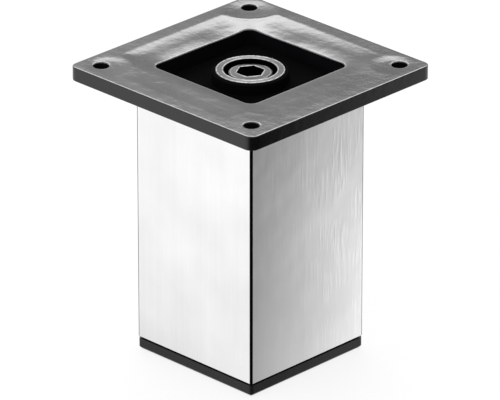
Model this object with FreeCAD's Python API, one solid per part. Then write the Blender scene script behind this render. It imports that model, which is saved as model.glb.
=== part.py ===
"""Square metal furniture leg with a screw-on plate and a foot that is lowered by a spindle.

Millimetres. The origin is the centre of the foot's underside, +Z is up, and the sides of the
square tube face along X and Y. Each piece is written to parts/NODE.step.
"""
import FreeCAD
import Part
import math
import os

V = FreeCAD.Vector
UP = V(0, 0, 1)
ORIGIN = V(0, 0, 0)

# Square tube with a brushed finish
tube_side = 60.0
tube_wall = 1.5
tube_length = 104.7
tube_corner = 0.9
tube_inner_corner = 0.6

# Mounting plate, a black coated casting
plate_overhang = 17.5
plate_thickness = 5.5
plate_corner = 3.5
plate_edge_chamfer = 0.4

# Thin seat of the plate on the tube's end, and the collar that enters the tube
seat_height = 0.8
seat_corner = 0.9
collar_depth = 8.0
collar_clearance = 0.1
collar_wall = 2.65
collar_corner = 1.2
collar_lead = 0.4
opening_corner = 3.6
opening_rim_chamfer = 0.35

# Screw holes of the plate
hole_edge_distance = 8.5
hole_diameter = 6.0
dimple_width = 3.4
dimple_shoulder = 0.7
dimple_depth = 0.3

# Shallow relief of the plate's top, which steps down twice towards the opening
rim_width = 5.4
pad_radius = 10.2
blend_tip_radius = 1.0
outer_slope_width = 4.8
outer_slope_depth = 0.35
inner_slope_width = 4.6
inner_slope_depth = 0.2

# Plug in the top of the tube
plug_clearance = 0.3
plug_wall = 2.4
plug_roof = 3.0
plug_length = 28.0
plug_corner = 1.2
plug_recess = 7.0
plug_neck_clearance = 0.2
crush_rib_width = 3.0
crush_rib_offset = 17.0
crush_rib_lead = 2.0
boss_wall = 1.5
boss_top_chamfer = 0.4
boss_foot_flare = 0.8
boss_below_bush = 0.25
core_wall = 5.0
plug_rib_thickness = 2.2
plug_rib_gap = 4.0

# Threaded bush in the plug
bush_wall = 3.0
bush_recess = 1.7
bush_thread_length = 14.0
bush_flange_width = 3.5
bush_flange_thickness = 2.5
bush_flat_depth = 2.0
bush_flat_clearance = 0.1
bush_edge_chamfer = 0.2
bush_mouth_chamfer = 0.15
thread_clearance = 0.08

# Spindle with a hex socket in its head and a journal at its foot
spindle_diameter = 12.0
spindle_head_overhang = 2.1
spindle_head_clearance = 1.9
spindle_head_height = 10.4
spindle_head_recess = 0.75
spindle_crown_drop = 0.4
spindle_end_chamfer = 0.5
socket_flats = 9.5
socket_depth = 6.4
socket_crown_margin = 0.3
socket_drill_angle = 118.0
journal_shoulder = 2.0
journal_clearance = 0.08
journal_recess = 1.2
journal_land = 0.95
groove_depth = 0.5
groove_side_clearance = 0.05

# Foot
pad_thickness = 4.4
pad_corner = 1.4
pad_edge_chamfer = 0.9
pad_rim = 6.5
pad_hollow_corner = 4.0
pad_hollow_depth = 0.6
neck_height = 0.6
neck_setback = 0.9
neck_corner = 1.0
skirt_clearance = 0.3
skirt_wall = 2.4
skirt_height = 27.0
skirt_corner = 1.2
skirt_lead = 0.6
foot_travel = 14.0
end_stop_clearance = 0.3
recess_clearance = 2.8
web_thickness = 4.0
socket_wall = 4.4
socket_collar_height = 3.0
foot_rib_thickness = 2.2
foot_rib_height = 12.0

# Washer under the spindle's shoulder, and the ring that holds the spindle in the foot
washer_margin = 4.0
washer_thickness = 1.5
washer_bore_clearance = 0.3
washer_seat_clearance = 0.1
ring_thickness = 1.0
ring_width = 2.6
ring_float = 0.2
ring_gap_angle = 60.0
ring_lug_diameter = 3.2
ring_lug_hole = 1.4

# Levels and sizes that follow from the values above
tube_inner = tube_side - 2 * tube_wall
foot_height = pad_thickness + neck_height
tube_bottom = foot_height
tube_top = tube_bottom + tube_length
plate_side = tube_side + 2 * plate_overhang
plate_bottom = tube_top + seat_height
plate_top = plate_bottom + plate_thickness
collar_bottom = tube_top - collar_depth
collar_side = tube_inner - 2 * collar_clearance
opening_side = collar_side - 2 * collar_wall
hole_offset = plate_side / 2 - hole_edge_distance
dimple_floor_diameter = hole_diameter + 2 * dimple_shoulder
dimple_diameter = hole_diameter + 2 * dimple_width
rim_blend = outer_slope_width + blend_tip_radius
shelf_level = plate_top - outer_slope_depth
opening_level = shelf_level - inner_slope_depth

spindle_head_diameter = spindle_diameter + 2 * spindle_head_overhang
journal_diameter = spindle_diameter - 2 * journal_shoulder
groove_diameter = journal_diameter - 2 * groove_depth
bush_counterbore = spindle_head_diameter + 2 * spindle_head_clearance
bush_diameter = bush_counterbore + 2 * bush_wall

plug_floor = plate_top - plug_recess
plug_bottom = collar_bottom - plug_length
plug_side = tube_inner - 2 * plug_clearance
plug_neck_side = opening_side - 2 * plug_neck_clearance
plug_neck_corner = opening_corner - plug_neck_clearance
plug_roof_underside = collar_bottom - plug_roof
boss_diameter = bush_diameter + 2 * boss_wall
core_diameter = bush_diameter + 2 * core_wall

bush_top = plate_top - bush_recess
boss_top = bush_top - boss_below_bush
head_top = bush_top - spindle_head_recess
head_bottom = head_top - spindle_head_height
counterbore_floor = head_bottom - foot_travel - end_stop_clearance
bush_bottom = counterbore_floor - bush_thread_length
bush_flange_top = bush_bottom + bush_flange_thickness
bush_flange_diameter = bush_diameter + 2 * bush_flange_width
bush_flats = bush_flange_diameter - 2 * bush_flat_depth

recess_depth = (journal_recess + journal_land + groove_side_clearance + ring_thickness
                + ring_float)
ring_reach = groove_diameter / 2 + ring_width + ring_lug_diameter / 2
recess_diameter = 2 * (ring_reach + recess_clearance)
washer_diameter = spindle_diameter + 2 * washer_margin
web_top = recess_depth + web_thickness
washer_top = web_top + washer_thickness
socket_top = washer_top + socket_collar_height
socket_diameter = washer_diameter + 2 * socket_wall
ring_top = recess_depth - ring_float
ring_bottom = ring_top - ring_thickness
skirt_side = tube_inner - 2 * skirt_clearance
skirt_inner = skirt_side - 2 * skirt_wall
skirt_top = foot_height + skirt_height
pad_hollow_side = tube_side - 2 * pad_rim


def rounded_square(side, radius, z):
    """A closed wire: a square of the given side, centred on Z, with round corners."""
    half = side / 2
    flat = half - radius
    diagonal = flat + radius * math.sqrt(0.5)
    edges = []
    for quarter in range(4):
        turn = FreeCAD.Rotation(UP, 90 * quarter)
        line = [turn.multVec(p) for p in (V(half, -flat, z), V(half, flat, z))]
        arc = [turn.multVec(p)
               for p in (V(half, flat, z), V(diagonal, diagonal, z), V(flat, half, z))]
        edges.append(Part.LineSegment(*line).toShape())
        edges.append(Part.Arc(*arc).toShape())
    return Part.Wire(edges)


def square_block(side, radius, low, high):
    """A square prism with round vertical corners."""
    face = Part.Face(rounded_square(side, radius, low))
    return face.extrude(V(0, 0, high - low))


def square_ring(outer, outer_corner, inner, inner_corner, low, high):
    """A square tube: one prism with another cut out of it."""
    core = square_block(inner, inner_corner, low, high)
    return square_block(outer, outer_corner, low, high).cut(core)


def square_taper(low_side, low_corner, low, high_side, high_corner, high):
    """A square frustum, which cuts a slope all round a square opening."""
    wires = [rounded_square(low_side, low_corner, low),
             rounded_square(high_side, high_corner, high)]
    return Part.makeLoft(wires, True, True)


def disc(diameter, low, high, x=0.0, y=0.0):
    """An upright cylinder."""
    return Part.makeCylinder(diameter / 2, high - low, V(x, y, low), UP)


def cone(low_diameter, low, high_diameter, high, x=0.0, y=0.0):
    """An upright truncated cone."""
    return Part.makeCone(low_diameter / 2, high_diameter / 2, high - low, V(x, y, low), UP)


def turned(profile):
    """A solid of revolution about Z, from (radius, height) points."""
    points = [V(r, 0, z) for r, z in profile]
    wire = Part.makePolygon(points + [points[0]])
    return Part.Face(wire).revolve(ORIGIN, UP, 360)


def level_edges(shape, z):
    """The edges of a shape that lie wholly at one height."""
    found = []
    for edge in shape.Edges:
        box = edge.BoundBox
        if abs(box.ZMin - z) < 1e-6 and abs(box.ZMax - z) < 1e-6:
            found.append(edge)
    return found


def edge_reach(edge):
    """How far an edge's middle lies from the axis, along X or Y."""
    middle = edge.valueAt((edge.FirstParameter + edge.LastParameter) / 2)
    return max(abs(middle.x), abs(middle.y))


def outline_edges(shape, z, side):
    """The edges at one height that run along a square outline of the given side."""
    return [e for e in level_edges(shape, z) if side / 2 - 1.4 < edge_reach(e) < side / 2 + 0.001]


def hole_centres():
    """The four screw holes of the plate."""
    return [(sx * hole_offset, sy * hole_offset) for sx in (-1, 1) for sy in (-1, 1)]


def relief_outline(inset, z):
    """The relief's outline at one height, moved inwards by inset.

    Each side is a straight line parallel to the plate's edge. At each corner it turns in
    through a blend and runs round the pad of the screw hole.
    """
    half = plate_side / 2 - rim_width - inset
    pad = pad_radius + inset
    blend = rim_blend - inset
    # The blend's centre is one blend radius inside the side, and it touches the pad's circle.
    blend_x = half - blend
    blend_y = hole_offset - math.sqrt((pad + blend) ** 2 - (blend_x - hole_offset) ** 2)
    share = pad / (pad + blend)
    touch_x = hole_offset + (blend_x - hole_offset) * share
    touch_y = hole_offset + (blend_y - hole_offset) * share
    halfway = math.atan2(touch_y - blend_y, touch_x - blend_x) / 2
    middle_x = blend_x + blend * math.cos(halfway)
    middle_y = blend_y + blend * math.sin(halfway)
    pad_middle = hole_offset - pad * math.sqrt(0.5)
    edges = []
    for quarter in range(4):
        turn = FreeCAD.Rotation(UP, 90 * quarter)

        def at(x, y):
            return turn.multVec(V(x, y, z))

        edges.append(Part.LineSegment(at(half, -blend_y), at(half, blend_y)).toShape())
        edges.append(Part.Arc(at(half, blend_y), at(middle_x, middle_y),
                              at(touch_x, touch_y)).toShape())
        edges.append(Part.Arc(at(touch_x, touch_y), at(pad_middle, pad_middle),
                              at(touch_y, touch_x)).toShape())
        edges.append(Part.Arc(at(touch_y, touch_x), at(middle_y, middle_x),
                              at(blend_y, half)).toShape())
    return Part.Wire(edges)


def relief_cutter():
    """What the plate's top lacks: a pan with sloping sides, then a second slope."""
    pan = Part.makeLoft([relief_outline(outer_slope_width, shelf_level),
                         relief_outline(0.0, plate_top)], True, True)
    funnel = square_taper(opening_side, opening_corner, opening_level,
                          opening_side + 2 * inner_slope_width,
                          opening_corner + inner_slope_width, shelf_level)
    return pan.fuse(funnel)


def plate_hole_cutter(x, y):
    """A screw hole with its shallow dimple above."""
    bore = disc(hole_diameter, plate_bottom, plate_top, x, y)
    dimple = cone(dimple_floor_diameter, plate_top - dimple_depth,
                  dimple_diameter, plate_top, x, y)
    return bore.fuse(dimple)


def make_mounting_plate():
    """The plate, with its relief, its holes, its seat and the collar that enters the tube."""
    plate = square_block(plate_side, plate_corner, plate_bottom, plate_top)
    plate = plate.makeChamfer(plate_edge_chamfer, outline_edges(plate, plate_top, plate_side))
    seat = square_block(tube_side, seat_corner, tube_top, plate_bottom)
    collar = square_block(collar_side, collar_corner, collar_bottom, tube_top)
    collar = collar.makeChamfer(collar_lead, outline_edges(collar, collar_bottom, collar_side))
    opening = square_block(opening_side, opening_corner, collar_bottom, plate_top)
    rim = square_taper(opening_side, opening_corner, opening_level - opening_rim_chamfer,
                       opening_side + 2 * opening_rim_chamfer,
                       opening_corner + opening_rim_chamfer, opening_level)
    cutters = [plate_hole_cutter(x, y) for x, y in hole_centres()]
    cutters += [relief_cutter(), opening, rim]
    return plate.fuse([seat, collar]).cut(cutters).removeSplitter()


def make_leg_tube():
    """The square tube between the foot and the plate."""
    return square_ring(tube_side, tube_corner, tube_inner, tube_inner_corner,
                       tube_bottom, tube_top)


def crush_ribs():
    """Two narrow ribs on each side of the plug, tapered at the bottom, that grip the tube."""
    inner = plug_side / 2 - plug_wall / 2
    outer = tube_inner / 2
    profile = [V(inner, 0, plug_bottom), V(plug_side / 2, 0, plug_bottom),
               V(outer, 0, plug_bottom + crush_rib_lead), V(outer, 0, collar_bottom),
               V(inner, 0, collar_bottom)]
    face = Part.Face(Part.makePolygon(profile + [profile[0]]))
    face.translate(V(0, -crush_rib_width / 2, 0))
    rib = face.extrude(V(0, crush_rib_width, 0))
    ribs = []
    for quarter in range(4):
        for offset in (-crush_rib_offset, crush_rib_offset):
            copy = rib.translated(V(0, offset, 0))
            copy.rotate(ORIGIN, UP, 90 * quarter)
            ribs.append(copy)
    return ribs


def star_ribs(thickness, inner_reach, outer_reach, low, high, first_angle):
    """Four upright ribs that run out from the axis, a quarter turn apart."""
    ribs = []
    for quarter in range(4):
        rib = Part.makeBox(outer_reach - inner_reach, thickness, high - low,
                           V(inner_reach, -thickness / 2, low))
        rib.rotate(ORIGIN, UP, first_angle + 90 * quarter)
        ribs.append(rib)
    return ribs


def bush_keys():
    """The two keys under the plug's core that stop the bush from turning."""
    near = bush_flats / 2 + bush_flat_clearance
    keys = []
    for side in (-1, 1):
        width = core_diameter / 2
        start = near if side > 0 else -near - width
        keys.append(Part.makeBox(core_diameter, width, bush_flange_thickness,
                                 V(-core_diameter / 2, start, bush_bottom)))
    return [key.common(disc(core_diameter, bush_bottom, bush_flange_top)) for key in keys]


def make_top_plug():
    """The moulded plug that carries the bush and bears up against the plate's collar."""
    body = square_block(plug_side, plug_corner, plug_bottom, collar_bottom)
    neck = square_block(plug_neck_side, plug_neck_corner, collar_bottom, plug_floor)
    hollow = square_block(plug_side - 2 * plug_wall, plug_corner, plug_bottom,
                          plug_roof_underside)
    hollow_above = square_block(plug_neck_side - 2 * plug_wall, plug_neck_corner,
                                plug_roof_underside, plug_floor - plug_roof)
    shell = body.fuse([neck] + crush_ribs()).cut([hollow, hollow_above])
    core = disc(core_diameter, bush_flange_top, plug_floor - plug_roof / 2)
    boss = disc(boss_diameter, bush_flange_top, boss_top)
    boss = boss.makeChamfer(boss_top_chamfer, level_edges(boss, boss_top))
    rib_low = plug_bottom + plug_rib_gap
    rib_high = plug_floor - plug_roof / 2
    inner = bush_diameter / 2 + core_wall / 2
    outer = plug_neck_side / 2 - plug_wall / 2
    corner = (outer - plug_neck_corner) * math.sqrt(2) + plug_neck_corner
    ribs = star_ribs(plug_rib_thickness, inner, outer, rib_low, rib_high, 0)
    ribs += star_ribs(plug_rib_thickness, inner, corner, rib_low, rib_high, 45)
    flare = cone(boss_diameter + 2 * boss_foot_flare, plug_floor,
                 boss_diameter, plug_floor + boss_foot_flare)
    plug = shell.fuse([core, boss, flare] + ribs + bush_keys()).removeSplitter()
    return plug.cut(disc(bush_diameter, bush_bottom, plate_top))


def make_threaded_bush():
    """The steel bush: a counterbore for the spindle's head above its thread, flanged below."""
    bore = spindle_diameter / 2 + thread_clearance
    wide = bush_counterbore / 2
    rim = bush_diameter / 2
    flange = bush_flange_diameter / 2
    profile = [
        (bore, bush_bottom),
        (flange, bush_bottom),
        (flange, bush_flange_top),
        (rim, bush_flange_top),
        (rim, bush_top - bush_edge_chamfer),
        (rim - bush_edge_chamfer, bush_top),
        (wide + bush_mouth_chamfer, bush_top),
        (wide, bush_top - bush_mouth_chamfer),
        (wide, counterbore_floor),
        (bore, counterbore_floor),
    ]
    bush = turned(profile)
    for side in (-1, 1):
        start = bush_flats / 2 if side > 0 else -bush_flats / 2 - bush_flange_diameter
        flat = Part.makeBox(2 * bush_flange_diameter, bush_flange_diameter,
                            bush_flange_thickness,
                            V(-bush_flange_diameter, start, bush_bottom))
        bush = bush.cut(flat)
    return bush


def hex_prism(flats, low, high):
    """A hexagonal prism with two of its corners on the X axis."""
    reach = flats / math.sqrt(3)
    angles = [math.radians(60 * k) for k in range(6)]
    corners = [V(reach * math.cos(a), reach * math.sin(a), low) for a in angles]
    face = Part.Face(Part.makePolygon(corners + [corners[0]]))
    return face.extrude(V(0, 0, high - low))


def socket_cutter():
    """The hex socket with its drilled floor."""
    floor = head_top - socket_depth
    drill = socket_flats / 2 / math.tan(math.radians(socket_drill_angle / 2))
    tip = Part.makeCone(0, socket_flats / 2, drill, V(0, 0, floor - drill), UP)
    return hex_prism(socket_flats, floor, head_top).fuse(tip)


def make_spindle():
    """The spindle: a crowned head with a hex socket, a threaded shank, and a grooved journal."""
    head = spindle_head_diameter / 2
    crown = socket_flats / math.sqrt(3) + socket_crown_margin
    shank = spindle_diameter / 2
    journal = journal_diameter / 2
    groove = groove_diameter / 2
    bevel = spindle_end_chamfer
    groove_low = ring_bottom - groove_side_clearance
    groove_high = ring_top + groove_side_clearance
    profile = [
        (0, journal_recess),
        (journal - bevel, journal_recess),
        (journal, journal_recess + bevel),
        (journal, groove_low),
        (groove, groove_low),
        (groove, groove_high),
        (journal, groove_high),
        (journal, washer_top),
        (shank - bevel, washer_top),
        (shank, washer_top + bevel),
        (shank, head_bottom),
        (head, head_bottom),
        (head, head_top - spindle_crown_drop),
        (crown, head_top),
        (0, head_top),
    ]
    return turned(profile).cut(socket_cutter())


def make_foot():
    """The moulded foot: pad, set-back neck, guide skirt, and a socket for the spindle's end."""
    pad = square_block(tube_side, pad_corner, 0, pad_thickness)
    pad = pad.makeChamfer(pad_edge_chamfer, outline_edges(pad, 0, tube_side))
    hollow = square_block(pad_hollow_side, pad_hollow_corner, 0, pad_hollow_depth)
    neck = square_ring(tube_side - 2 * neck_setback, neck_corner, skirt_inner, skirt_corner,
                       pad_thickness, foot_height)
    skirt = square_block(skirt_side, skirt_corner, foot_height, skirt_top)
    skirt = skirt.makeChamfer(skirt_lead, outline_edges(skirt, skirt_top, skirt_side))
    skirt = skirt.cut(square_block(skirt_inner, skirt_corner, foot_height, skirt_top))
    socket = disc(socket_diameter, pad_hollow_depth, socket_top)
    ribs = star_ribs(foot_rib_thickness, socket_diameter / 2 - socket_wall / 2,
                     skirt_inner / 2 + skirt_wall / 2, pad_thickness,
                     pad_thickness + foot_rib_height, 0)
    seat = disc(washer_diameter + 2 * washer_seat_clearance, web_top,
                pad_thickness + foot_rib_height)
    bore = disc(journal_diameter + 2 * journal_clearance, 0, web_top)
    recess = disc(recess_diameter, 0, recess_depth)
    shell = pad.cut(hollow).fuse([neck, skirt, socket] + ribs)
    return shell.cut([seat, bore, recess]).removeSplitter()


def make_thrust_washer():
    """The steel washer under the spindle's shoulder."""
    bore = disc(journal_diameter + 2 * washer_bore_clearance, web_top, washer_top)
    return disc(washer_diameter, web_top, washer_top).cut(bore)


def make_retaining_ring():
    """The spring ring in the journal's groove, with an eye at each end."""
    inner = groove_diameter / 2
    outer = inner + ring_width
    ring = disc(2 * outer, ring_bottom, ring_top).cut(disc(2 * inner, ring_bottom, ring_top))
    half_gap = math.radians(ring_gap_angle / 2)
    far = 2 * outer
    points = [V(0, 0, ring_bottom),
              V(far * math.cos(half_gap), -far * math.sin(half_gap), ring_bottom),
              V(far * math.cos(half_gap), far * math.sin(half_gap), ring_bottom)]
    wedge = Part.Face(Part.makePolygon(points + [points[0]]))
    ring = ring.cut(wedge.extrude(V(0, 0, ring_thickness)))
    lug_angle = half_gap + ring_lug_diameter / 2 / outer
    for side in (-1, 1):
        x = outer * math.cos(lug_angle)
        y = outer * math.sin(lug_angle) * side
        lug = disc(ring_lug_diameter, ring_bottom, ring_top, x, y)
        eye = disc(ring_lug_hole, ring_bottom, ring_top, x, y)
        ring = ring.fuse(lug).cut(eye)
    return ring.removeSplitter()


PIECES = {
    "mounting_plate": make_mounting_plate,
    "leg_tube": make_leg_tube,
    "top_plug": make_top_plug,
    "threaded_bush": make_threaded_bush,
    "spindle": make_spindle,
    "foot": make_foot,
    "thrust_washer": make_thrust_washer,
    "retaining_ring": make_retaining_ring,
}


def main():
    """Builds every piece and writes it to its own file."""
    os.makedirs("parts", exist_ok=True)
    for name, make in PIECES.items():
        shape = make()
        box = shape.BoundBox
        print(f"{name}: {len(shape.Solids)} solid, {len(shape.Faces)} faces, "
              f"{shape.Volume / 1000:.2f} cm3, z {box.ZMin:.2f} to {box.ZMax:.2f}, "
              f"valid {shape.isValid()}")
        shape.exportStep(f"parts/{name}.step")


main()
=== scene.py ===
# %% [markdown]
# # A square metal furniture leg
#
# The leg is a short square tube of brushed metal with a black mounting plate on top and a black
# foot below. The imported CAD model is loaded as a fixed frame, which nothing here moves. This
# script gives it the soft relief of its plate, its fine edges, its materials and a quiet studio.

# %% Load the frame
import math
import bpy
import numpy as np
from mathutils import Matrix, Vector


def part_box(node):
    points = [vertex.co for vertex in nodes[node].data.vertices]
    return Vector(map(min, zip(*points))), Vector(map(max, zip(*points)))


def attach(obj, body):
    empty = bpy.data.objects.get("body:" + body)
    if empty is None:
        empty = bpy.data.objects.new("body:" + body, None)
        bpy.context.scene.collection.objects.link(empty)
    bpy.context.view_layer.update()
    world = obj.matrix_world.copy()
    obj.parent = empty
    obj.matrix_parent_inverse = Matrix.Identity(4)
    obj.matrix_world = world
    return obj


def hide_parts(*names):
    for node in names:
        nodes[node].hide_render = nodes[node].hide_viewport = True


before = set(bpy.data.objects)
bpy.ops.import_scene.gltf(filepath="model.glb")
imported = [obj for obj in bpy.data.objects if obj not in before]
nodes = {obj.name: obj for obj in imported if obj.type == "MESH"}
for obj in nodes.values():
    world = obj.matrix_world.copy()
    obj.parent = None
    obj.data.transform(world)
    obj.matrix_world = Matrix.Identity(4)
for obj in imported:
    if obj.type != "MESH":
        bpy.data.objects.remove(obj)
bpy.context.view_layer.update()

# %% [markdown]
# ## Sizes
#
# The sizes below are the CAD model's, in millimetres. The levels are read from the frame's
# boxes, so that the pieces made here sit exactly where the solids do. The rest repeats the
# sizes of the solids, which a box does not give.

# %% Read the levels from the CAD boxes
def mm_box(name):
    """A CAD node's lowest and highest corners, in millimetres."""
    low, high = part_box(name)
    return np.array(low) * 1000, np.array(high) * 1000


plate_low, plate_high = mm_box("mounting_plate")
tube_low, tube_high = mm_box("leg_tube")
plate_half, _, plate_top = plate_high
collar_bottom = plate_low[2]
tube_half = tube_high[0]
tube_bottom, tube_top = tube_low[2], tube_high[2]
bush_top = mm_box("threaded_bush")[1][2]
spindle_top = mm_box("spindle")[1][2]
print(f"plate top {plate_top:.2f}, tube {tube_bottom:.2f} to {tube_top:.2f} mm")

# %% Sizes of the solids that their boxes do not give
plate_corner = 3.5
plate_bottom = plate_top - 5.5
opening_half = 25.75
opening_corner = 3.6
hole_radius = 3.0
hole_offset = 39.0
collar_half, collar_corner, collar_lead = 28.4, 1.2, 0.4
tube_corner = 0.9
tube_inner_half, tube_inner_corner = 28.5, 0.6
print(f"plate {2 * plate_half:.1f} square, opening {2 * opening_half:.1f}, "
      f"holes {2 * hole_radius:.1f} on a {2 * hole_offset:.1f} square")

# %% [markdown]
# ## Surfaces from arrays
#
# Two kinds of surface are needed. A *loft* joins rings of points that have the same count, as
# when a profile is carried along a square path. A *sheet* is a grid of which only the cells in
# some region are kept. Both end up as one vertex array and one face array.

# %% Make a mesh piece from arrays
def mesh_piece(name, verts_mm, quads, body):
    """A smooth piece from arrays of vertices in millimetres and of quads, riding on a body."""
    mesh = bpy.data.meshes.new(name)
    mesh.from_pydata((verts_mm / 1000).tolist(), [], quads.tolist())
    mesh.validate()
    mesh.polygons.foreach_set("use_smooth", [True] * len(mesh.polygons))
    piece = bpy.data.objects.new(name, mesh)
    bpy.context.scene.collection.objects.link(piece)
    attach(piece, body)
    print(f"{name}: {len(mesh.vertices)} vertices, {len(mesh.polygons)} faces")
    return piece


def keep_flats_flat(piece):
    """Weights the shading by face area, so that large flat faces stay flat beside fine edges."""
    modifier = piece.modifiers.new("flat faces", "WEIGHTED_NORMAL")
    modifier.weight = 60
    modifier.keep_sharp = True


# %% Rings of a rounded square, and a loft through them
beside_arc = 0.15


def square_ring(half, radius, z, arc_steps):
    """A rounded square at one height, anticlockwise, as an (n, 3) array.

    Corner k has its centre at (half − radius) in both directions, turned by 90k degrees, and
    its arc is centre + radius (cos a, sin a). Each side has its middle point and two points
    close to its arcs, so that shading stays flat between them.
    """
    angles = np.linspace(0, math.pi / 2, arc_steps + 1)
    centre = half - radius
    arc = np.stack([centre + radius * np.cos(angles), centre + radius * np.sin(angles)], 1)
    span = 2 * centre
    side = np.array([[centre - s, half] for s in (beside_arc, span / 2, span - beside_arc)])
    quarter = np.concatenate([arc, side])
    turns = []
    for k in range(4):
        c, s = round(math.cos(k * math.pi / 2)), round(math.sin(k * math.pi / 2))
        turns.append(quarter @ np.array([[c, s], [-s, c]]))
    flat = np.concatenate(turns)
    return np.column_stack([flat, np.full(len(flat), z)])


def loft(rings, close):
    """Vertices and quads through rings of equal count. Ring i, point j is vertex i·n + j.

    close joins the last ring to the first, as round the section of a tube.
    """
    count = len(rings[0])
    verts = np.concatenate(rings)
    rows = len(rings) if close else len(rings) - 1
    i, j = np.meshgrid(np.arange(rows), np.arange(count), indexing="ij")
    up, right = (i + 1) % len(rings), (j + 1) % count
    quads = np.stack([i * count + j, i * count + right, up * count + right, up * count + j], -1)
    return verts, quads.reshape(-1, 4)


def square_profile(points, arc_steps, close):
    """Carries a profile of (half side, corner radius, height) points round the square."""
    return loft([square_ring(h, r, z, arc_steps) for h, r, z in points], close)


print("points in a ring with 10 steps to a corner:", len(square_ring(1, 0.5, 0, 10)))

# %% [markdown]
# ## The mounting plate's relief
#
# The plate is a casting whose top is not flat. A flat rim runs round the edge. Inside it the
# surface steps down softly, turns in round a pad at each screw hole, and steps down once more
# before the opening. Each hole sits in a shallow dish, whose middle lies a little towards the
# plate's centre. A height function gives all of this: it takes a signed distance to each
# outline, which is negative inside, and turns it into a soft step.

# %% Signed distances and soft steps
def square_distance(x, y, half, radius):
    """Distance to a rounded square: |max(q, 0)| + min(max(qx, qy), 0) − r, q = |p| − (h − r)."""
    qx, qy = np.abs(x) - (half - radius), np.abs(y) - (half - radius)
    outside = np.hypot(np.maximum(qx, 0), np.maximum(qy, 0))
    return outside + np.minimum(np.maximum(qx, qy), 0) - radius


def hole_distance(x, y, offset=hole_offset):
    """Distance to the nearest of four points (±offset, ±offset), the screw holes' centres."""
    return np.hypot(np.abs(x) - offset, np.abs(y) - offset)


def soft_max(a, b, width):
    """max(a, b), rounded off over a width: the larger plus a parabola where they are close."""
    close = np.clip(0.5 + 0.5 * (a - b) / width, 0, 1)
    return b + (a - b) * close + width * close * (1 - close)


def soft_step(t):
    """0 below 0, 1 above 1, and 3t² − 2t³ between."""
    t = np.clip(t, 0, 1)
    return t * t * (3 - 2 * t)


print("soft step at 0, 0.25, 0.5, 1:", soft_step(np.array([0, 0.25, 0.5, 1])))

# %% [markdown]
# The step down from the rim is drawn as its slope, not as its height, because the slope is
# what a reflection shows: steep just inside the rim, then nearly level. Adding the slope up
# gives the height.

# %% How the surface falls inwards from the rim
inwards = np.linspace(0, 40, 801)
fall = 0.044 * soft_step(inwards / 1.6) * (1 - 0.72 * soft_step((inwards - 2.2) / 7.0))
fallen = np.concatenate([[0], np.cumsum((fall[1:] + fall[:-1]) / 2 * np.diff(inwards))])
rim_width = 5.4
to_opening = plate_half - rim_width - opening_half
print("fallen by the opening:", round(float(np.interp(to_opening, inwards, fallen)), 2), "mm")


# %% The height of the plate's top
pad_radius = 10.2
dish_shift = 2.2


def relief(x, y):
    """How far the plate's top lies below its rim, in millimetres.

    depth = lean fallen(−pan) + rear clip(−pan − 1, 0, 11) + 0.13 clip(1 − opening / 6.6, 0, 1)²
            + deep step(1 − (dish − 3) / wide).
    pan, opening and dish are distances: to the outline inside the rim and round the pads, to
    the opening, and to the middle of a hole's dish. lean grows from 0.30 at the corner towards
    +x and −y to 1.08 at the one towards −x and +y, and is 42 percent less at the corner towards
    +x and +y. rear is a further slope near the corner towards −x and +y, where deep is 0.21 and
    wide is 9. Elsewhere deep is 0.12 and wide is 6, but deep is 0 at the corner towards +x and −y.
    """
    pan = soft_max(square_distance(x, y, plate_half - rim_width, 3.0),
                   pad_radius - hole_distance(x, y), 3.4)
    opening = square_distance(x, y, opening_half, opening_corner)
    dish = hole_distance(x, y, hole_offset - dish_shift)
    at_rear = soft_step((y - x - 60) / 10)
    deep = 0.12 - 0.12 * soft_step((x - y - 50) / 20) + 0.09 * at_rear
    wide = 6.0 + 3.0 * at_rear
    lean = 0.30 + 0.62 * soft_step((y - x + 8) / 20) + 0.16 * soft_step((y - x) / 65)
    lean = lean * (1 - 0.42 * soft_step((x + y - 24) / 40))
    rear = 0.017 * soft_step((-soft_max(-y, x, 12.0) - 1) / 14)
    return (lean * np.interp(-pan, inwards, fallen) + rear * np.clip(-pan - 1.0, 0, 11)
            + 0.13 * np.clip(1 - opening / 6.6, 0, 1) ** 2
            + deep * soft_step(1 - (dish - 3.0) / wide))


probe = relief(np.array([46.0, 36.0, 26.0, 34.5]), np.array([0.0, 0.0, 0.0, 39.0]))
print("relief at rim, pan, opening, dish:", np.round(probe, 3))

# %% [markdown]
# The top is a sheet: a square grid, of which the cells on the metal are kept. The points on
# the sheet's border are then moved onto the true outline along the distance's slope. From
# there a quarter round is swept over the edge, and a wall goes down to the underside, which
# is the same sheet again.

# %% The sheet of the plate's flat metal
edge_round = 0.32


def metal(x, y):
    """Negative on the plate's metal, drawn in by the edge's rounding: outline, opening, holes."""
    outline = square_distance(x, y, plate_half, plate_corner) + edge_round
    opening = edge_round - square_distance(x, y, opening_half, opening_corner)
    holes = hole_radius + edge_round - hole_distance(x, y)
    return np.maximum(outline, np.maximum(opening, holes))


def slope(field, x, y, step=0.01):
    """The field's gradient by central differences, as unit vectors."""
    gx = field(x + step, y) - field(x - step, y)
    gy = field(x, y + step) - field(x, y - step)
    length = np.hypot(gx, gy) + 1e-12
    return gx / length, gy / length


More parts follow.
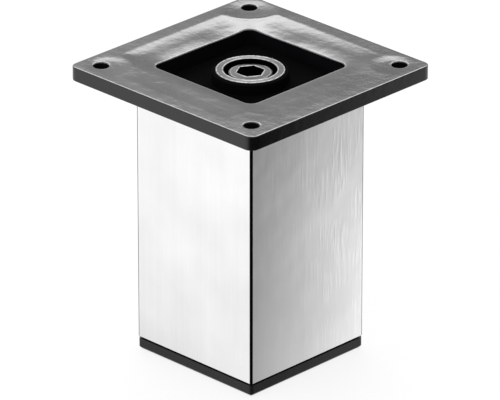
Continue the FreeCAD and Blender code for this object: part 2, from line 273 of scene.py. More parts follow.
def sheet_of(field, half, cell):
    """Points and quads of a square grid where field < 0, with its border moved onto field = 0."""
    count = int(round(2 * half / cell))
    line = np.linspace(-half, half, count + 1)
    x, y = (a.ravel() for a in np.meshgrid(line, line))
    i, j = (a.ravel() for a in np.meshgrid(np.arange(count), np.arange(count)))
    corner = i * (count + 1) + j
    quads = np.stack([corner, corner + 1, corner + count + 2, corner + count + 1], 1)
    middle = field(x[quads].mean(1), y[quads].mean(1))
    quads = quads[middle < 0]
    edges = np.concatenate([quads[:, [k, (k + 1) % 4]] for k in range(4)])
    size = len(x)
    keys, back = edges[:, 0] * size + edges[:, 1], edges[:, 1] * size + edges[:, 0]
    border = edges[~np.isin(keys, back)]
    rim = np.unique(border)
    for _ in range(4):
        gx, gy = slope(field, x[rim], y[rim])
        away = field(x[rim], y[rim])
        x[rim] -= gx * away
        y[rim] -= gy * away
    used = np.unique(quads)
    index = np.full(size, -1)
    index[used] = np.arange(len(used))
    return x[used], y[used], index[quads], index[border]


sheet_x, sheet_y, sheet_quads, border = sheet_of(metal, plate_half, 0.5)
print("sheet:", len(sheet_x), "points,", len(border), "border edges")

# %% Round the edges over and close the plate
round_steps = 5


def plate_surface():
    """The plate's top, its rounded edges and its walls.

    Over an edge the border point p goes to p + n ρ sin a, at depth ρ (1 − cos a), for a from 0
    to 90 degrees, with n pointing off the metal. Walls in the opening go down to the collar's
    end, and the others to the plate's underside.
    """
    depth = relief(sheet_x, sheet_y)
    count = len(sheet_x)
    rim = np.unique(border)
    local = np.full(count, -1)
    local[rim] = np.arange(len(rim))
    nx, ny = slope(metal, sheet_x[rim], sheet_y[rim])
    inside = square_distance(sheet_x[rim], sheet_y[rim], opening_half + 2, opening_corner) < 0
    floor = np.where(inside, collar_bottom, plate_bottom)
    layers = [np.column_stack([sheet_x, sheet_y, plate_top - depth])]
    angles = np.linspace(0, math.pi / 2, round_steps + 1)[1:]
    over = [(edge_round * math.sin(a), edge_round * (1 - math.cos(a)), True) for a in angles]
    under = [(edge_round * math.sin(a), edge_round * (1 - math.cos(a)), False)
             for a in angles[::-1]]
    for reach, drop, high in over + under:
        z = plate_top - depth[rim] - drop if high else floor + drop
        layers.append(np.column_stack([sheet_x[rim] + nx * reach, sheet_y[rim] + ny * reach, z]))
    verts = np.concatenate(layers)
    starts = np.cumsum([0] + [len(a) for a in layers])
    a, b = local[border[:, 0]], local[border[:, 1]]
    quads = [sheet_quads, np.stack([border[:, 1], border[:, 0], starts[1] + a, starts[1] + b], 1)]
    for k in range(1, len(layers) - 1):
        low, high = starts[k], starts[k + 1]
        quads.append(np.stack([low + b, low + a, high + a, high + b], 1))
    return verts, np.concatenate(quads)


skin_verts, skin_quads = plate_surface()
under_verts = np.column_stack([sheet_x, sheet_y, np.full(len(sheet_x), plate_bottom)])
under_quads = sheet_quads[:, ::-1]
print("plate skin:", len(skin_quads), "quads")

# %% [markdown]
# Below the plate a thin seat stands on the tube's end, and a collar goes down inside the tube.
# Their profile is carried round the square path.

# %% The seat and the collar
collar_profile = [
    (tube_half, tube_corner, plate_bottom + 0.2), (tube_half, tube_corner, plate_bottom),
    (tube_half, tube_corner, tube_top + 0.05), (tube_half - 0.05, tube_corner, tube_top),
    (collar_half, collar_corner, tube_top),
    (collar_half, collar_corner, collar_bottom + collar_lead),
    (collar_half - collar_lead, collar_corner, collar_bottom),
    (opening_half + 0.3, opening_corner + 0.3, collar_bottom),
]
collar_verts, collar_quads = square_profile(collar_profile, arc_steps=10, close=False)
parts = [(skin_verts, skin_quads), (under_verts, under_quads), (collar_verts, collar_quads)]
offsets = np.cumsum([0] + [len(v) for v, _ in parts])
plate = mesh_piece("coated_plate", np.concatenate([v for v, _ in parts]),
                   np.concatenate([q + o for (_, q), o in zip(parts, offsets)]), "leg")
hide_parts("mounting_plate")
keep_flats_flat(plate)

# %% [markdown]
# A painted highlight lightens the coat along the opening, round the holes and faintly along the
# outline's round. Its strength falls off with a point's distance to those edges as a bell curve.
# It is kept on the mesh as an attribute, because it belongs to these edges and not to edges in
# general.

# %% Mark the edges that get a painted highlight, as an attribute
def bell(distance, width):
    """exp(−(distance / width)²): 1 on an edge, and near 0 two widths away."""
    return np.exp(-(distance / width) ** 2)


points = np.empty(len(plate.data.vertices) * 3)
plate.data.vertices.foreach_get("co", points)
x, y, z = points.reshape(-1, 3).T * 1000
# A painted highlight, strongest on the opening's edge, weaker round the holes and faint on the
# outline.
at_opening = bell(square_distance(x, y, opening_half, opening_corner), 0.5)
turned_over = np.clip(1 - (plate_top - z) / edge_round, 0, 1)
at_outline = 0.03 * bell(square_distance(x, y, plate_half, plate_corner), 0.4) * turned_over
at_holes = 0.6 * bell(hole_distance(x, y) - hole_radius, 0.4)
painted_edge_highlight = np.maximum(at_opening, np.maximum(at_outline, at_holes)) * (z > plate_top - 1.9)
layer = plate.data.attributes.new("painted_edge_highlight", "FLOAT", "POINT")
layer.data.foreach_set("value", painted_edge_highlight.astype(np.float32))
print("rubbed points:", int((painted_edge_highlight > 0.3).sum()))

# %% Mark the faces inside the opening, which keep a matt coat
face_count = len(plate.data.polygons)
middles = np.empty(face_count * 3)
plate.data.polygons.foreach_get("center", middles)
x, y, z = middles.reshape(-1, 3).T * 1000
skin = 0.02
in_opening = (np.maximum(abs(x), abs(y)) < opening_half + skin) & (z < plate_top - 1.0)
in_hole = (hole_distance(x, y) < hole_radius + skin) & (z < plate_top - 0.6)
matt_faces = in_opening | in_hole
print("matt faces:", int(matt_faces.sum()), "of", face_count)

# %% [markdown]
# ## The tube
#
# The tube is drawn metal with a small round on each upright edge. Its own piece gives those
# rounds many facets, because they show as a thin dark line down each corner. The ends are
# broken by a fine bevel, and rings beside the bevel keep the shading of the long sides flat.

# %% Tube with fine corners
end_bevel, beside_bevel = 0.2, 0.35
bevelled_half, bevelled_corner = tube_half - end_bevel, tube_corner - end_bevel
tube_profile = [
    (tube_half, tube_corner, tube_bottom + end_bevel),
    (tube_half, tube_corner, tube_bottom + beside_bevel),
    (tube_half, tube_corner, (tube_bottom + tube_top) / 2),
    (tube_half, tube_corner, tube_top - beside_bevel),
    (tube_half, tube_corner, tube_top - end_bevel),
    (bevelled_half, bevelled_corner, tube_top),
    (tube_inner_half, tube_inner_corner, tube_top),
    (tube_inner_half, tube_inner_corner, tube_bottom),
    (bevelled_half, bevelled_corner, tube_bottom),
]
tube_verts, tube_quads = square_profile(tube_profile, arc_steps=14, close=True)
tube = mesh_piece("brushed_tube", tube_verts, tube_quads, "leg")
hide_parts("leg_tube")
keep_flats_flat(tube)

# %% [markdown]
# ## Materials
#
# Shared effects are node groups that read Object coordinates, so they keep their real size on
# every piece. A group gives out values that vary over the surface, and the shader itself stays
# in the material. A few helpers make the nodes, so that a material reads as what it does.

# %% Nodes and sums
def add_node(tree, kind, links=None, **settings):
    """A shader node. links sets or connects its inputs by name, settings its properties."""
    made = tree.nodes.new("ShaderNode" + kind)
    for key, value in settings.items():
        setattr(made, key, value)
    for key, value in (links or {}).items():
        if isinstance(value, bpy.types.NodeSocket):
            tree.links.new(value, made.inputs[key])
        else:
            made.inputs[key].default_value = value
    return made


def calculate(tree, operation, a, b=0.0, c=0.0, clamp=False):
    """The output of a Math node."""
    return add_node(tree, "Math", {0: a, 1: b, 2: c}, operation=operation,
                    use_clamp=clamp).outputs[0]


def product(tree, first, *rest):
    """Several values multiplied."""
    for factor in rest:
        first = calculate(tree, "MULTIPLY", first, factor)
    return first


def weighted(tree, first, *rest):
    """The sum of (value, weight) pairs, each value times its weight."""
    total = product(tree, *first)
    for value, weight in rest:
        total = calculate(tree, "MULTIPLY_ADD", value, weight, total)
    return total


def distance_of(tree, a, b):
    """√(a² + b²)."""
    return calculate(tree, "SQRT", calculate(tree, "ADD", product(tree, a, a),
                                             product(tree, b, b)))


def remap(tree, value, low, high, to_low=0.0, to_high=1.0):
    """A value moved from one range to another, and held inside it."""
    return add_node(tree, "MapRange", {"Value": value, "From Min": low, "From Max": high,
                                       "To Min": to_low, "To Max": to_high}).outputs[0]


# %% Ramps, mixes and places
def ramp_of(tree, value, stops):
    """A colour ramp of grey values through (position, value) stops, as one number."""
    made = add_node(tree, "ValToRGB", {0: value})
    while len(made.color_ramp.elements) < len(stops):
        made.color_ramp.elements.new(0.5)
    for stop, (position, _) in zip(made.color_ramp.elements, stops):
        stop.position = position
    for stop, (_, grey) in zip(made.color_ramp.elements, stops):
        stop.color = (grey, grey, grey, 1)
    return made.outputs[0]


def mix_colour(tree, factor, first, second):
    """The colour between two, by a factor from 0 to 1. Each is a socket or red, green, blue."""
    first, second = ((*c, 1) if isinstance(c, tuple) else c for c in (first, second))
    return add_node(tree, "Mix", {0: factor, 6: first, 7: second}, data_type="RGBA").outputs[2]


def mix_value(tree, factor, first, second):
    """The number between two, by a factor from 0 to 1."""
    return add_node(tree, "Mix", {0: factor, 2: first, 3: second}, data_type="FLOAT").outputs[0]


def place_on(tree):
    """Where a point lies on its piece, in metres, as a vector."""
    return add_node(tree, "TexCoord").outputs["Object"]


def parts_of(tree, vector):
    """A vector's x, y and z."""
    return add_node(tree, "SeparateXYZ", {0: vector}).outputs


def noise(tree, vector, scale, detail=2.0, roughness=0.5):
    """Soft noise from 0 to 1, with about scale lumps to each unit of the vector."""
    return add_node(tree, "TexNoise", {"Vector": vector, "Scale": scale, "Detail": detail,
                                       "Roughness": roughness}).outputs["Fac"]


# %% Node groups
def new_group(name, inputs, outputs):
    """A node group, what it is given, and the results that it gives out.

    inputs are (name, default) and outputs are names.
    """
    tree = bpy.data.node_groups.new(name, "ShaderNodeTree")
    for label, default in inputs:
        tree.interface.new_socket(label, in_out="INPUT",
                                  socket_type="NodeSocketFloat").default_value = default
    for label in outputs:
        tree.interface.new_socket(label, in_out="OUTPUT", socket_type="NodeSocketFloat")
    given, results = tree.nodes.new("NodeGroupInput"), tree.nodes.new("NodeGroupOutput")
    return tree, given.outputs, results.inputs


def use_group(tree, group, **values):
    """The outputs of a node that runs a group, with its inputs set by name."""
    made = tree.nodes.new("ShaderNodeGroup")
    made.node_tree = group
    for key, value in values.items():
        made.inputs[key].default_value = value
    return made.outputs


def tell(made):
    """Prints how many nodes a group or a material has."""
    tree = made.node_tree if isinstance(made, bpy.types.Material) else made
    print(f"{made.name}: {len(tree.nodes)} nodes")


# %% [markdown]
# Brushing leaves scratches that run along the leg. Noise whose coordinates are squeezed along
# the scratch gives them: fine ones over a coarser, slower one, as an abrasive belt makes. The
# belt also left short single marks, in patches, most of them towards +y and below the top.

# %% Group: brushed streaks along Z
streaks, given, results = new_group("brushed streaks", [("Density", 900.0), ("Length", 12.0)],
                                    ["Fine", "Broad", "Marks"])
place = place_on(streaks)
x, y, z = parts_of(streaks, place)
stretched = add_node(streaks, "CombineXYZ", {0: product(streaks, x, given["Density"]),
                                             1: product(streaks, y, given["Density"]),
                                             2: product(streaks, z, given["Length"])}).outputs[0]
streaks.links.new(noise(streaks, stretched, 1.0, 3.0, 0.6), results["Fine"])
streaks.links.new(noise(streaks, stretched, 0.11), results["Broad"])

# %% The same group: short marks
short = add_node(streaks, "VectorMath", {0: place, 1: (950.0, 950.0, 100.0)},
                 operation="MULTIPLY").outputs[0]
patches = product(streaks, remap(streaks, y, -0.008, 0.014, 0.15, 1.0),
                  remap(streaks, z, 0.100, 0.080, 0.35, 1.0),
                  remap(streaks, noise(streaks, place, 70.0), 0.38, 0.52))
marks = product(streaks, remap(streaks, noise(streaks, short, 1.0), 0.42, 0.68), patches)
streaks.links.new(marks, results["Marks"])
tell(streaks)

# %% [markdown]
# A thin dark line is painted into the colour along the round of each upright edge, as a painted
# dark reflection. The mask is 1 where the distance from the axis, measured along a diagonal, is
# near its largest.

# %% Group: a painted dark reflection along each upright edge
corners, given, results = new_group("painted dark corner line", [("Reach", 0.04180)], ["Mask"])
x, y, z = parts_of(corners, place_on(corners))
both = calculate(corners, "ADD", calculate(corners, "ABSOLUTE", x),
                 calculate(corners, "ABSOLUTE", y))
diagonal = product(corners, both, math.sqrt(0.5))
beyond = calculate(corners, "SUBTRACT", diagonal, given["Reach"])
corners.links.new(remap(corners, beyond, 0.0, 0.00006), results["Mask"])
tell(corners)

# %% [markdown]
# A coat and a moulding both have a fine grain, and a slow unevenness some thirty times as
# wide. One group gives both, because the real ones come from the same mould or spray.

# %% Group: fine moulded or coated grain
grain, given, results = new_group("fine grain", [("Scale", 2500.0)], ["Height", "Patches"])
place = place_on(grain)
grain.links.new(noise(grain, place, given["Scale"], 2.0, 0.55), results["Height"])
slower = product(grain, given["Scale"], 0.03)
grain.links.new(noise(grain, place, slower, 3.0, 0.6), results["Patches"])
tell(grain)

# %% [markdown]
# On edges a coating is thinner and metal is rubbed bright. The Bevel node gives the normal as
# if edges were rounder; where it differs from the true normal there is an edge.

# %% Group: edge wear
wear, given, results = new_group("edge wear", [("Radius", 0.0004), ("Breakup", 600.0)], ["Mask"])
rounder = add_node(wear, "Bevel", {"Radius": given["Radius"]}, samples=4).outputs[0]
own = add_node(wear, "NewGeometry").outputs["Normal"]
same = add_node(wear, "VectorMath", {0: rounder, 1: own}, operation="DOT_PRODUCT")
edge = remap(wear, same.outputs["Value"], 0.995, 0.9)
broken = remap(wear, noise(wear, place_on(wear), given["Breakup"], 3.0), 0.35, 0.62)
wear.links.new(product(wear, edge, broken), results["Mask"])
tell(wear)

# %% [markdown]
# Dust settles on what faces upwards, in small clouds. The mask is the upward part of the
# normal, broken up by noise.

# %% Group: dust that lies on upward faces
dust, given, results = new_group("settled dust", [("Scale", 350.0)], ["Mask"])
normal = add_node(dust, "NewGeometry").outputs["Normal"]
upward = remap(dust, parts_of(dust, normal)[2], 0.6, 1.0)
cloud = remap(dust, noise(dust, place_on(dust), given["Scale"], 5.0, 0.65), 0.45, 0.75)
dust.links.new(product(dust, upward, cloud), results["Mask"])
tell(dust)

# %% [markdown]
# A lathe tool leaves rings. They depend only on the distance from the axis, with a share of
# the height, so that they also run on over cylinders.

# %% Group: turned rings about the Z axis
rings, given, results = new_group("turned rings", [("Pitch", 5200.0)], ["Height"])
x, y, z = parts_of(rings, place_on(rings))
along = calculate(rings, "MULTIPLY_ADD", z, 0.7, distance_of(rings, x, y))
tool = add_node(rings, "TexNoise", {"W": product(rings, along, given["Pitch"]), "Scale": 1.0,
                                    "Detail": 2.0}, noise_dimensions="1D").outputs["Fac"]
rings.links.new(tool, results["Height"])
tell(rings)

# %% [markdown]
# Turned edges and the socket's edge get a painted highlight, a bright line in the colour. Each is
# a line at a known distance from the axis: plain distance for a round edge, and the largest of
# three side distances for a hexagon.

# %% Group: a painted highlight line where an edge runs round the axis
painted_rim_highlight, given, results = new_group(
    "painted rim highlight", [("Radius", 0.01), ("Width", 0.0003), ("Hexagon", 0.0)], ["Mask"])
place = place_on(painted_rim_highlight)
x, y, z = parts_of(painted_rim_highlight, place)
sides = [calculate(painted_rim_highlight, "ABSOLUTE", add_node(
    painted_rim_highlight, "VectorMath", {0: place, 1: (math.sin(a), math.cos(a), 0)},
    operation="DOT_PRODUCT").outputs["Value"]) for a in (0, math.pi / 3, -math.pi / 3)]
hex_out = calculate(painted_rim_highlight, "MAXIMUM", sides[0], calculate(painted_rim_highlight, "MAXIMUM", *sides[1:]))
out = mix_value(painted_rim_highlight, given["Hexagon"], distance_of(painted_rim_highlight, x, y), hex_out)
off = calculate(painted_rim_highlight, "ABSOLUTE", calculate(painted_rim_highlight, "SUBTRACT", out, given["Radius"]))
on_line = calculate(painted_rim_highlight, "SUBTRACT", 1.0,
                    calculate(painted_rim_highlight, "DIVIDE", off, given["Width"]), clamp=True)
highlight_breakup = remap(painted_rim_highlight, noise(painted_rim_highlight, place, 900.0), 0.3, 0.55)
painted_rim_highlight.links.new(product(painted_rim_highlight, on_line, highlight_breakup), results["Mask"])
tell(painted_rim_highlight)

# %% [markdown]
# A material is one Principled shader. Its constants are set on its own sockets. Colour,
# roughness and normal come from the groups.

# %% Start and finish a material
def new_material(name, **constants):
    """A material, its node tree, and its Principled shader with the constants set."""
    material = bpy.data.materials.new(name)
    material.use_nodes = True
    shader = material.node_tree.nodes["Principled BSDF"]
    for key, value in constants.items():
        shader.inputs[key].default_value = value
    return material, material.node_tree, shader


def finish_with(tree, shader, colour, roughness, height, distance):
    """Feeds the shader's colour and roughness, and a bump of distance metres times height."""
    tree.links.new(colour, shader.inputs["Base Color"])
    tree.links.new(roughness, shader.inputs["Roughness"])
    bump = add_node(tree, "Bump", {"Height": height, "Distance": distance, "Strength": 1.0})
    tree.links.new(bump.outputs[0], shader.inputs["Normal"])


def run_round_axis(tree, shader):
    """Runs an anisotropic shader's tangent round the Z axis."""
    tangent = add_node(tree, "Tangent", direction_type="RADIAL", axis="Z")
    tree.links.new(tangent.outputs[0], shader.inputs["Tangent"])


def paint(piece, material):
    """Puts one material on a piece or CAD node."""
    piece.data.materials.clear()
    piece.data.materials.append(material)
    tell(material)


# %% [markdown]
# The tube is brushed along its length. Real brushing spreads a reflection sideways, across
# the scratches, so the shader is anisotropic about the leg's axis. Brushing is never even, so
# slow waves vary both the tone and the surface, and the reflections look cloudy.

# %% Brushed metal
brushed, tree, shader = new_material("brushed metal", Metallic=1.0, Anisotropic=0.4)
look = use_group(tree, streaks, Density=1500.0, Length=14.0)
waves = noise(tree, place_on(tree), 42.0)
tone = weighted(tree, (look["Fine"], 0.35), (look["Broad"], 0.22), (waves, 0.73),
                (look["Marks"], 0.20))
bright = mix_colour(tree, remap(tree, tone, 0.50, 0.86), (0.86, 0.86, 0.867),
                    (0.96, 0.96, 0.96))
# A painted dark reflection: a thin near-black line mixed into the colour along each upright edge.
painted_corner_reflection = use_group(tree, corners)["Mask"]
finish_with(tree, shader,
            colour=mix_colour(tree, painted_corner_reflection, bright, (0.015, 0.015, 0.016)),
            roughness=remap(tree, look["Fine"], 0.3, 0.7, 0.16, 0.26),
            height=weighted(tree, (waves, 22.0), (look["Marks"], 2.6), (look["Fine"], 0.35)),
            distance=0.000009)
run_round_axis(tree, shader)
paint(tube, brushed)

# %% [markdown]
# The plate is coated black over a casting. The coat is glossy enough to mirror a window and
# follows the casting's slight unevenness, so its reflections look mottled. Its worn edges and the
# dust on it are lighter, and the edges of the opening and the holes carry a painted highlight.

# %% Black coat on the plate
coat, tree, shader = new_material("black coat", IOR=1.5)
look = use_group(tree, grain, Scale=1900.0)
clouds = use_group(tree, grain, Scale=9000.0)
edges = use_group(tree, wear, Radius=0.0005, Breakup=500.0)["Mask"]
settled = use_group(tree, dust, Scale=260.0)["Mask"]
# The attribute is a painted highlight along the opening, round the holes and faintly along the
# outline.
painted_highlight_mask = add_node(tree, "Attribute", attribute_name="painted_edge_highlight").outputs["Fac"]
base = mix_colour(tree, look["Patches"], (0.0018, 0.0018, 0.0019), (0.006, 0.006, 0.0062))
lighter = weighted(tree, (edges, 0.06), (settled, 0.05), (painted_highlight_mask, 0.8))
finish_with(tree, shader,
            colour=mix_colour(tree, lighter, base, (0.22, 0.22, 0.225)),
            roughness=remap(tree, look["Patches"], 0.3, 0.7, 0.08, 0.12),
            height=calculate(tree, "ADD", look["Patches"],
                             weighted(tree, (clouds["Patches"], 0.6), (look["Height"], 0.05))),
            distance=0.000065)
paint(plate, coat)

# %% [markdown]
# The walls of the opening and of the holes carry no painted highlight and hardly shine, so they
# take a second, matt material on the faces found above.

# %% Matt coat inside the plate's opening and holes
inner_coat, tree, shader = new_material("matt inner coat", IOR=1.04)
look = use_group(tree, grain, Scale=2300.0)
finish_with(tree, shader,
            colour=mix_colour(tree, look["Patches"], (0.0035, 0.0035, 0.0042),
                              (0.0075, 0.0075, 0.0085)),
            roughness=remap(tree, look["Height"], 0.3, 0.7, 0.7, 0.85),
            height=look["Height"], distance=0.00002)
plate.data.materials.append(inner_coat)
plate.data.polygons.foreach_set("material_index", matt_faces.astype(np.int32))
tell(inner_coat)

# %% [markdown]
# The plug and the foot are black mouldings. The plug is matt and deep in the opening, so it
# stays nearly black. The foot has a fine grain and a slight sheen.

# %% Black mouldings
def moulded(name, dark, light, rough, scale, index):
    """A black moulding: grain in its normal and roughness, patches and dust in its colour."""
    material, tree, shader = new_material(name, IOR=index)
    look = use_group(tree, grain, Scale=scale)
    settled = use_group(tree, dust, Scale=400.0)["Mask"]
    tone = weighted(tree, (look["Patches"], 0.8), (settled, 0.15))
    finish_with(tree, shader, colour=mix_colour(tree, tone, (dark,) * 3, (light,) * 3),
                roughness=remap(tree, look["Height"], 0.3, 0.7, rough - 0.06, rough + 0.06),
                height=look["Height"], distance=0.00002)
    return material


paint(nodes["top_plug"], moulded("matt black moulding", 0.0034, 0.0058, 0.8, 3200.0, 1.03))
paint(nodes["foot"], moulded("grained black moulding", 0.006, 0.013, 0.36, 2600.0, 1.36))

# %% [markdown]
# The bush and the spindle are turned steel. Their top faces show fine tool rings, and a painted
# highlight along their edges. Below those faces their colour is a painted shade, nearly black, so
# the gap between them and the socket stays dark.

# %% Turned steel
def turned_steel(name, dark, light, rough, pitch, painted_shade_height=-1.0, lines=()):
    """Turned steel: rings in its colour, roughness and normal, with a painted highlight on its
    edges.

    Below a given height, in metres, its colour is a painted shade, nearly black. Each of the lines
    is a painted highlight along an edge: its distance from the axis in millimetres, and 1 where it
    is a hexagon.
    """
    material, tree, shader = new_material(name, Metallic=1.0, Anisotropic=0.85)
    ring = use_group(tree, rings, Pitch=pitch)["Height"]
    painted_highlights = 0.0
    for from_axis, hexagon in lines:
        line = use_group(tree, painted_rim_highlight, Radius=from_axis / 1000, Width=0.00035, Hexagon=hexagon)
        painted_highlights = calculate(tree, "MAXIMUM", painted_highlights, line["Mask"])
    steel = mix_colour(tree, remap(tree, ring, 0.3, 0.7), (dark,) * 3, (light,) * 3)
    # The lines mix a painted highlight into the colour.
    steel = mix_colour(tree, painted_highlights, steel, (4.0 * light,) * 3)
    # Below the given height the colour is a painted shade, nearly black.
    height = parts_of(tree, place_on(tree))[2]
    above_painted_shade = remap(tree, calculate(tree, "SUBTRACT", height, painted_shade_height), 0.0, 0.00008)
    finish_with(tree, shader, colour=mix_colour(tree, above_painted_shade, (0.035, 0.035, 0.037), steel),
                roughness=remap(tree, ring, 0.3, 0.7, rough - 0.07, rough + 0.07),
                height=ring, distance=0.000006)
    run_round_axis(tree, shader)
    return material


# %% Steel pieces
bush_face = (bush_top - 0.12) / 1000
head_face = (spindle_top - 0.36) / 1000
paint(nodes["threaded_bush"],
      turned_steel("turned steel", 0.085, 0.145, 0.36, 5200.0, bush_face,
                   lines=[(12.6, 0.0), (10.35, 0.0)]))
paint(nodes["spindle"],
      turned_steel("turned spindle steel", 0.085, 0.145, 0.34, 6400.0, head_face,
                   lines=[(7.6, 0.0), (4.85, 1.0)]))
paint(nodes["thrust_washer"], turned_steel("plain washer steel", 0.42, 0.60, 0.30, 3800.0))
paint(nodes["retaining_ring"], turned_steel("spring steel", 0.10, 0.20, 0.34, 4200.0))

# %% [markdown]
# ## Studio
#
# The floor and the background are white, and the floor is clear from below, so that the
# underside can be looked at. Polished and brushed metal shows what stands round it, so the
# floor and the sky answer glossy rays with a photo studio: a bright sheet of card to the left
# of the leg, a dark one in front and to the right, and a broad window above and behind. Three
# soft lights do the rest.
#
# The camera looks at the front edge of the leg, so right and near run along the diagonals.

# %% Directions as the camera sees them
def view_axes(tree, part):
    """How far a point, or a direction, lies to the right and nearer than the middle."""
    rightwards = calculate(tree, "ADD", part[0], part[1])
    nearer = calculate(tree, "SUBTRACT", part[0], part[1])
    return product(tree, rightwards, math.sqrt(0.5)), product(tree, nearer, math.sqrt(0.5))


def mix_shader(tree, factor, first, second):
    """The shader between two, by a factor."""
    return add_node(tree, "MixShader", {0: factor, 1: first, 2: second}).outputs[0]


# %% [markdown]
# A side of the tube mirrors the floor in front of it. Which part it mirrors depends on the bearing
# from the tube's front edge, so the card is painted by bearing, with a painted shadow that makes
# it a little darker close to the leg. The right side sees a second card, which gets lighter away
# from the front edge.

# %% Floor: the card that glossy rays meet
white_floor, tree, plain = new_material("white floor", Roughness=0.9)
plain.inputs["Base Color"].default_value = (0.86, 0.86, 0.86, 1)
across, nearer = view_axes(tree, parts_of(tree, place_on(tree)))
front_edge = tube_half * math.sqrt(2) / 1000
from_edge = calculate(tree, "SUBTRACT", nearer, front_edge)
bearing = calculate(tree, "ARCTAN2", across, from_edge)
card_stops = [(-180, 0.50), (-152, 0.62), (-136, 1.0), (-106, 1.08), (-56, 1.08), (-32, 0.36),
              (-12, 0.05), (50, 0.04), (70, 0.06), (110, 0.90), (130, 1.08), (150, 0.9),
              (180, 0.50)]
card = ramp_of(tree, remap(tree, bearing, -math.pi, math.pi),
               [((degrees + 180) / 360, grey) for degrees, grey in card_stops])
distance = distance_of(tree, across, nearer)
# A painted shadow of the leg: the card is darker within about 0.19 m of the axis.
card = product(tree, card, remap(tree, distance, 0.045, 0.19, 0.87, 1.0))
print(f"front edge: {1000 * front_edge:.1f} mm from the axis")

# %% Floor: the second card, for the right side
behind = remap(tree, from_edge, 0.05, -0.10)
stripe = ramp_of(tree, behind, [(0.0, 0.02), (0.20, 0.03), (0.33, 0.25), (0.36, 0.29),
                                (0.47, 0.41), (0.59, 0.60), (0.64, 0.70), (0.80, 1.0)])
closer = ramp_of(tree, remap(tree, distance, 0.0, 0.4),
                 [(0.15, 1.0), (0.37, 0.89), (0.60, 0.64), (0.75, 0.62)])
zone_in, zone_out = (0.96, 1.31), (2.6, 2.2)
zone = product(tree, remap(tree, bearing, *zone_in), remap(tree, bearing, *zone_out))
card = mix_value(tree, zone, card, product(tree, stripe, closer, 1.55))
print(f"second card: bearings {math.degrees(zone_in[0]):.0f} to {math.degrees(zone_out[0]):.0f}")

# %% [markdown]
# To the camera the floor glows white, with a fifth of its true shading, so that the leg's
# faint shadow stays. Other rays meet a plain white floor, or the cards where they are glossy.

# %% Floor: what each kind of ray meets
white_light = 1.05
path = add_node(tree, "LightPath").outputs
cards = add_node(tree, "Emission", {"Color": card, "Strength": 1.0}).outputs[0]
glow = add_node(tree, "Emission", {"Color": (1, 1, 1, 1), "Strength": white_light}).outputs[0]
lit = mix_shader(tree, path["Is Glossy Ray"], plain.outputs[0], cards)
seen_floor = mix_shader(tree, 0.2, glow, plain.outputs[0])
upper_side = mix_shader(tree, path["Is Camera Ray"], lit, seen_floor)
below = add_node(tree, "NewGeometry").outputs["Backfacing"]
clear = add_node(tree, "BsdfTransparent").outputs[0]
tree.links.new(mix_shader(tree, below, upper_side, clear),
               tree.nodes["Material Output"].inputs["Surface"])
tell(white_floor)

# %% Floor: the plane
reach, floor_level = 4.0, -0.0002
floor_mesh = bpy.data.meshes.new("floor")
floor_mesh.from_pydata([(x, y, floor_level) for x, y in ((-reach, -reach), (reach, -reach),
                                                         (reach, reach), (-reach, reach))],
                       [], [(0, 1, 2, 3)])
floor = bpy.data.objects.new("floor", floor_mesh)
bpy.context.scene.collection.objects.link(floor)
floor.data.materials.append(white_floor)
print(f"floor: {2 * reach:.0f} m square")

# %% [markdown]
# The world is a wall and a window by the height and the bearing of a ray. The plate's flat
# faces mirror the wall just under the window, and its slopes tip the view up into the window,
# so a slope of a few hundredths shows as a bright band. To the camera the world is white.

# %% World: the wall
world = bpy.data.worlds.new("studio")
bpy.context.scene.world = world
world.use_nodes = True
tree = world.node_tree
part = parts_of(tree, add_node(tree, "TexCoord").outputs["Generated"])
aside, nearer = view_axes(tree, part)
around = calculate(tree, "ABSOLUTE",
                   calculate(tree, "ARCTAN2", aside, product(tree, nearer, -1.0)))
wall = ramp_of(tree, part[2], [(0.0, 0.90), (0.25, 1.20), (0.42, 1.24), (0.50, 1.1),
                               (0.56, 0.8), (1.0, 0.65)])
behind_camera = remap(tree, around, 0.35 * math.pi, 0.65 * math.pi, 1.0, 0.55)
slant = remap(tree, aside, -0.03, 0.03, 1.24, 0.82)
wall = product(tree, wall, behind_camera, slant)

# %% World: a dark flag low on the right, and the window
from_flag = calculate(tree, "ABSOLUTE", calculate(tree, "SUBTRACT", aside, 0.9))
beside_flag = remap(tree, from_flag, 0.25, 0.55)
above_flag = remap(tree, part[2], 0.28, 0.40)
flag = remap(tree, calculate(tree, "MAXIMUM", beside_flag, above_flag), 0.0, 1.0, 0.12, 1.0)
window = ramp_of(tree, part[2], [(0.411, 0.0), (0.419, 0.18), (0.429, 0.34), (0.443, 0.56),
                                 (0.460, 0.86), (0.480, 1.0), (0.51, 0.8), (0.56, 0.0)])
panes = ramp_of(tree, remap(tree, around, 0.0, math.pi), [(0.1, 1.0), (0.3, 0.3), (0.5, 0.1)])
leftwards = remap(tree, aside, -0.04, 0.01, 0.92, 1.0)
bright = product(tree, window, panes, leftwards, 6.4)
room = calculate(tree, "MULTIPLY_ADD", wall, flag, bright)

# %% World: what each kind of ray meets
path = add_node(tree, "LightPath").outputs
soft = mix_colour(tree, path["Is Glossy Ray"], (0.5, 0.5, 0.5), room)
seen = mix_colour(tree, path["Is Camera Ray"], soft, (white_light,) * 3)
sky = tree.nodes["Background"]
sky.inputs["Strength"].default_value = 1.0
tree.links.new(seen, sky.inputs["Color"])
print("world:", len(tree.nodes), "nodes")

# %% [markdown]
# Three soft boxes light the leg from behind, from the left and from above. They are hidden
# from glossy rays, because the cards and the window already stand for what metal mirrors.

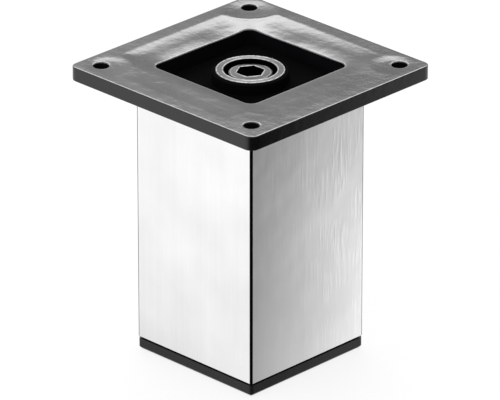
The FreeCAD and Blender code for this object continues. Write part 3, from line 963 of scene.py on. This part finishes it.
# %% Lights
view_front = Vector((math.sqrt(0.5), -math.sqrt(0.5), 0))
view_right = Vector((math.sqrt(0.5), math.sqrt(0.5), 0))
up = Vector((0, 0, 1))
centre = Vector((0, 0, 0.06))


def softbox(name, right, front, high, width, tall, power):
    """An area light placed by its distance right of, in front of and above the leg."""
    data = bpy.data.lights.new(name, "AREA")
    data.shape = "RECTANGLE"
    data.size, data.size_y = width, tall
    data.energy = power
    light = bpy.data.objects.new(name, data)
    light.visible_glossy = False
    bpy.context.scene.collection.objects.link(light)
    light.location = centre + view_right * right + view_front * front + up * high
    light.rotation_euler = (centre - light.location).to_track_quat("-Z", "Y").to_euler()
    print(f"{name}: {power} W")


softbox("back light", -0.1, -1.2, 0.88, 1.3, 0.42, 12.0)
softbox("left light", -1.2, 0.5, 0.6, 1.0, 1.0, 6.0)
softbox("top light", 0.1, 0.3, 1.4, 1.2, 1.2, 5.0)

# %% [markdown]
# ## Camera
#
# The camera was fitted to the corners of the plate and of the foot, as they lie in the
# photograph. It stands 2.1 m in front of the leg and 0.9 m above the plate, and looks down by
# 24.6 degrees through a long lens. The lens is given by its focal length in pixels of a frame
# that is 500 pixels wide.

# %% Camera
yaw, pitch = math.radians(0.415), math.radians(24.589)
turn = Matrix.Rotation(-yaw, 4, "Z")
right = turn @ view_right
front = turn @ view_front
spot = Vector((0, 0, plate_top / 1000)) + right * -0.000134 + front * 2.092 + up * 0.9024
forward = -front * math.cos(pitch) - up * math.sin(pitch)
camera_up = right.cross(forward)
focal_pixels, frame_width, sensor = 6162, 500, 36.0
camera_data = bpy.data.cameras.new("camera")
camera_data.sensor_width = sensor
camera_data.lens = focal_pixels / frame_width * sensor
camera = bpy.data.objects.new("camera", camera_data)
bpy.context.scene.collection.objects.link(camera)
rotation = Matrix((right, camera_up, -forward)).transposed()
camera.matrix_world = Matrix.Translation(spot) @ rotation.to_4x4()
bpy.context.scene.camera = camera
bpy.context.scene.view_settings.view_transform = "Standard"
print("camera at", [round(v, 4) for v in spot], "lens", round(camera_data.lens, 1))
